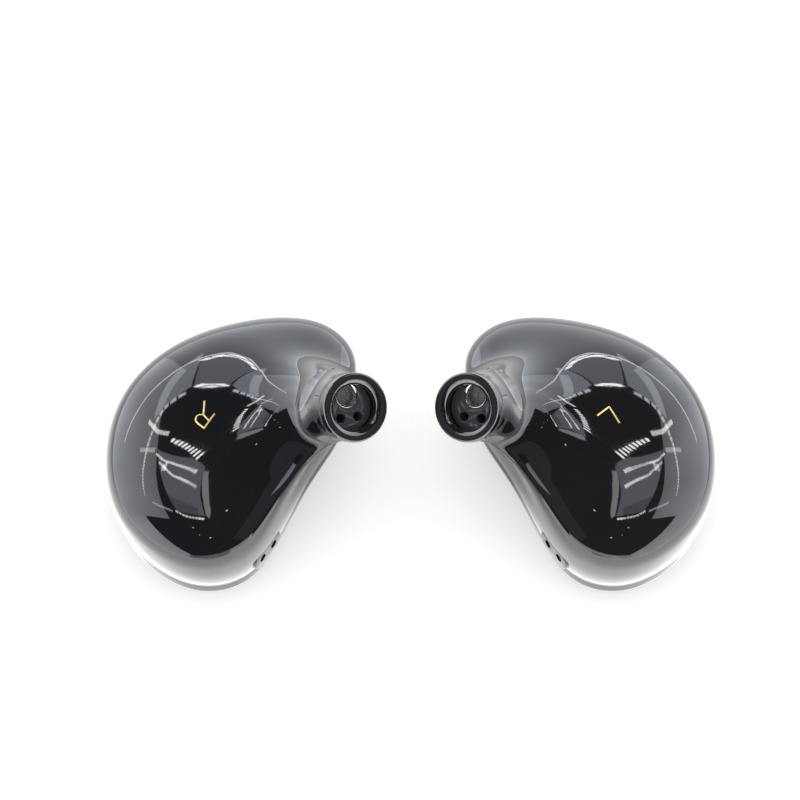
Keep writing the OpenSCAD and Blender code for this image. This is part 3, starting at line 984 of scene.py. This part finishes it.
# The daylight is white, and in reflections the open ceiling is dark
def makeWorld():
    world = bpy.data.worlds.new("room")
    scene.world = world
    world.use_nodes = True
    tree = world.node_tree
    light = tree.nodes["Background"]
    light.inputs["Color"].default_value = (*white, 1)
    path = tree.nodes.new("ShaderNodeLightPath")
    strength = addRange(tree, path.outputs["Is Glossy Ray"], room["daylight"], room["ceiling"])
    tree.links.new(strength, light.inputs["Strength"])


# Light seen only in reflections: cloth walls, grey light boards and their rows of lamps. Where
# two overlap, their light adds up.
def makeGlowCloth(name, strength, colour):
    material, tree, shader, _ = newMaterial(name)
    tree.nodes.remove(shader)
    glow = tree.nodes.new("ShaderNodeEmission")
    glow.inputs["Color"].default_value = (*colour, 1)
    glow.inputs["Strength"].default_value = strength
    clear = tree.nodes.new("ShaderNodeBsdfTransparent")
    both = tree.nodes.new("ShaderNodeAddShader")
    tree.links.new(glow.outputs[0], both.inputs[0])
    tree.links.new(clear.outputs[0], both.inputs[1])
    tree.links.new(both.outputs[0], tree.nodes["Material Output"].inputs["Surface"])
    return material


def onlyMirrored(card, receivers):
    card.visible_camera = False
    card.visible_diffuse = False
    card.visible_transmission = False
    card.visible_shadow = False
    card.visible_volume_scatter = False
    if receivers:
        card.light_linking.receiver_collection = receivers


# The pieces of each earpiece, for the light that only one of them mirrors
def makeSeers(start):
    seers = bpy.data.collections.new(start + "Seers")
    for piece in scene.objects:
        if piece.name.startswith(start):
            seers.objects.link(piece)
    return seers


seers = {side: makeSeers(side + "_") for side in ("right", "left")}
plugSeers = {side: makeSeers(side + "_soundPlug") for side in ("right", "left")}

# Walls of the tent: lowest corner, highest corner, how bright each is at its foot and top, and
# the earpiece that mirrors it, where only one does
walls = {
    "leftWall": ((-0.4, -0.06, -0.01), (-0.4, 0.8, 0.65), 3, 1.4, None),
    "rightWall": ((0.4, -0.06, -0.01), (0.4, 0.8, 0.65), 3, 1.4, None),
    "backWall": ((-0.4, 0.8, -0.01), (0.4, 0.8, 0.54), 2.2, 0.9, None),
    "leftFlap": ((-0.4, -0.8, -0.01), (-0.4, -0.06, 0.3), 3.2, 2.4, "right"),
    "rightFlap": ((0.4, -0.8, -0.01), (0.4, -0.06, 0.3), 3.2, 2.4, "left"),
    "frontForRight": ((-0.4, -0.8, -0.01), (1.2, -0.8, 0.27), 3, 1.9, "right"),
    "frontForLeft": ((0.4, -0.8, -0.01), (-1.2, -0.8, 0.27), 3, 1.9, "left"),
}

# Slack folds that run down the cloth
folds = {
    "size": 5,
    "detail": 0.5,
    "stretch": (1, 1, 0.15),
    "span": (0.3, 0.7),
    "light": (0.87, 1.13),
}


def makeWall(name, low, high, footGlow, topGlow, side):
    low = Vector(low)
    high = Vector(high)
    bpy.ops.mesh.primitive_plane_add(size=1)
    wall = bpy.context.object
    wall.name = name
    for vertex in wall.data.vertices:
        along = vertex.co.x + 0.5
        up = vertex.co.y + 0.5
        vertex.co = (low.x + along * (high.x - low.x), low.y + along * (high.y - low.y),
                     low.z + up * (high.z - low.z))
    cloth = makeGlowCloth(name + "Cloth", topGlow, cloud)
    tree = cloth.node_tree
    place = tree.nodes["Texture Coordinate"].outputs["Object"]
    height = tree.nodes.new("ShaderNodeSeparateXYZ")
    tree.links.new(place, height.inputs[0])
    fade = addRange(tree, height.outputs["Z"], footGlow, topGlow, 0, high.z)
    stretched = addMapping(tree, place, folds["stretch"])
    waves = addNoise(tree, stretched, folds["size"], folds["detail"])
    slack = addRange(tree, waves, *folds["light"], *folds["span"])
    both = addMaths(tree, "MULTIPLY", fade, slack)
    tree.links.new(both, tree.nodes["Emission"].inputs["Strength"])
    wall.data.materials.append(cloth)
    onlyMirrored(wall, seers.get(side))


# What hangs over the right earpiece, in millimetres on one level: grey boards by their corners
# and brightness, and rows of small lamps by their path, width, how much of it they fill, and
# brightness. Only that earpiece mirrors them, and the left one has its own mirrored set.
cards = {
    "height": 0.35,
    "boards": {
        "backBoard": ([(-179, 300), (-207, 484), (-190, 512), (-140, 550), (-140, 290)], 1.15,
                      cool),
        "backFlap": ([(-235, 640), (-211, 500), (-183, 306), (-194, 292), (-250, 270),
                      (-262, 420)], 1.8, cool),
        "frontBoard": ([(-222, 196), (-137, 132), (-97, 90), (-95, 50), (-82, -8), (-172, 8),
                        (-190, 60), (-214, 150)], 1.15, cool),
        "sideBoard": ([(100, 20), (200, 60), (900, 200), (900, -900), (150, -300)], 0.14, cool),
        "sheet": ([(-97, 86), (-86, 80), (-76, 60), (-70, 34), (-64, 6), (-66, -20), (-78, -8),
                   (-86, 36)], 2.2, white),
    },
    "rows": {
        "backRow": ([(-208, 490), (-190, 516), (-140, 556)], 26, 0.85, 10, white),
        "longRow": ([(-160, 575), (-235, 522), (-300, 460), (-420, 425), (-620, 405)], 16, 1, 5,
                    white),
        "frontRow": ([(-178, 306), (-164, 290)], 8, 0.85, 12, white),
        "sideRow": ([(-184, 290), (-222, 277), (-262, 229), (-300, 142), (-323, 53)], 10, 0.8, 5,
                    white),
        "farRow": ([(-190, 208), (-166, 183), (-137, 142), (-119, 118)], 7, 0.55, 12, white),
        "nearRow": ([(-178, 6), (-148, -10), (-84, -20)], 9, 0.8, 10, white),
        "crossing": ([(-214, 158), (-196, 138), (-170, 108), (-106, 66)], 5, 1, 8, white),
        "cable": ([(-226, 186), (-200, 158), (-176, 142), (-112, 92)], 5, 0.8, 9, white),
        "tangle": ([(-203, 128), (-199, 147), (-193, 128), (-189, 150)], 6, 1, 7, white),
        "corner": ([(-275, 280), (-228, 238), (-196, 222)], 8, 1, 7, white),
        "brace": ([(-315, 227), (-231, 197)], 12, 1, 3, white),
        "lowBrace": ([(-280, 26), (-190, 3)], 9, 1, 4, white),
        "bulb": ([(-58, -166), (-50, -166)], 9, 1, 14, warm),
        "bulbs": ([(46, 34), (-192, -101), (-31, -151)], 5, 0.03, 8, white),
    },
    "plugRows": {
        "strips": ([(420, -420), (800, -150)], 90, 0.5, 3, cool),
    },
}


# Lifts what was just drawn to its level, and mirrors it for the left earpiece
def placeCard(name, side):
    card = bpy.context.object
    card.name = side + "_" + name
    for vertex in card.data.vertices:
        x = vertex.co.x if side == "right" else -vertex.co.x
        vertex.co = (x * mm, vertex.co.y * mm, cards["height"])
    return card


def makeBoard(corners):
    bpy.ops.mesh.primitive_circle_add(vertices=len(corners), fill_type="NGON")
    for vertex, corner in zip(bpy.context.object.data.vertices, corners):
        vertex.co = (*corner, 0)


# Square lamps along a path, as wide as the row. The first plane is only a speck to start from.
def makeRow(path, width, share):
    speck = 0.01
    bpy.ops.mesh.primitive_plane_add(size=speck)
    bpy.ops.object.mode_set(mode="EDIT")
    dots = spaced(path, width / share)
    for spot, ahead in zip(dots, dots[1:]):
        run = ahead - spot
        middle = (spot + ahead) / 2
        bpy.ops.mesh.primitive_plane_add(size=width, location=(*middle, 0),
                                         rotation=(0, 0, math.atan2(run.y, run.x)))
    bpy.ops.object.mode_set(mode="OBJECT")


def makeCards(side):
    for name, (corners, strength, colour) in cards["boards"].items():
        makeBoard(corners)
        card = placeCard(name, side)
        card.data.materials.append(makeGlowCloth(card.name + "Cloth", strength, colour))
        onlyMirrored(card, seers[side])
    for group, receivers in (("rows", seers[side]), ("plugRows", plugSeers[side])):
        for name, (path, width, share, strength, colour) in cards[group].items():
            makeRow(path, width, share)
            card = placeCard(name, side)
            card.data.materials.append(makeGlowCloth(card.name + "Lamps", strength, colour))
            onlyMirrored(card, receivers)


makeFloor()
makeWorld()
for name, values in walls.items():
    makeWall(name, *values)
makeCards("right")
makeCards("left")
print("room and lights set")

scene.view_settings.view_transform = "Standard"
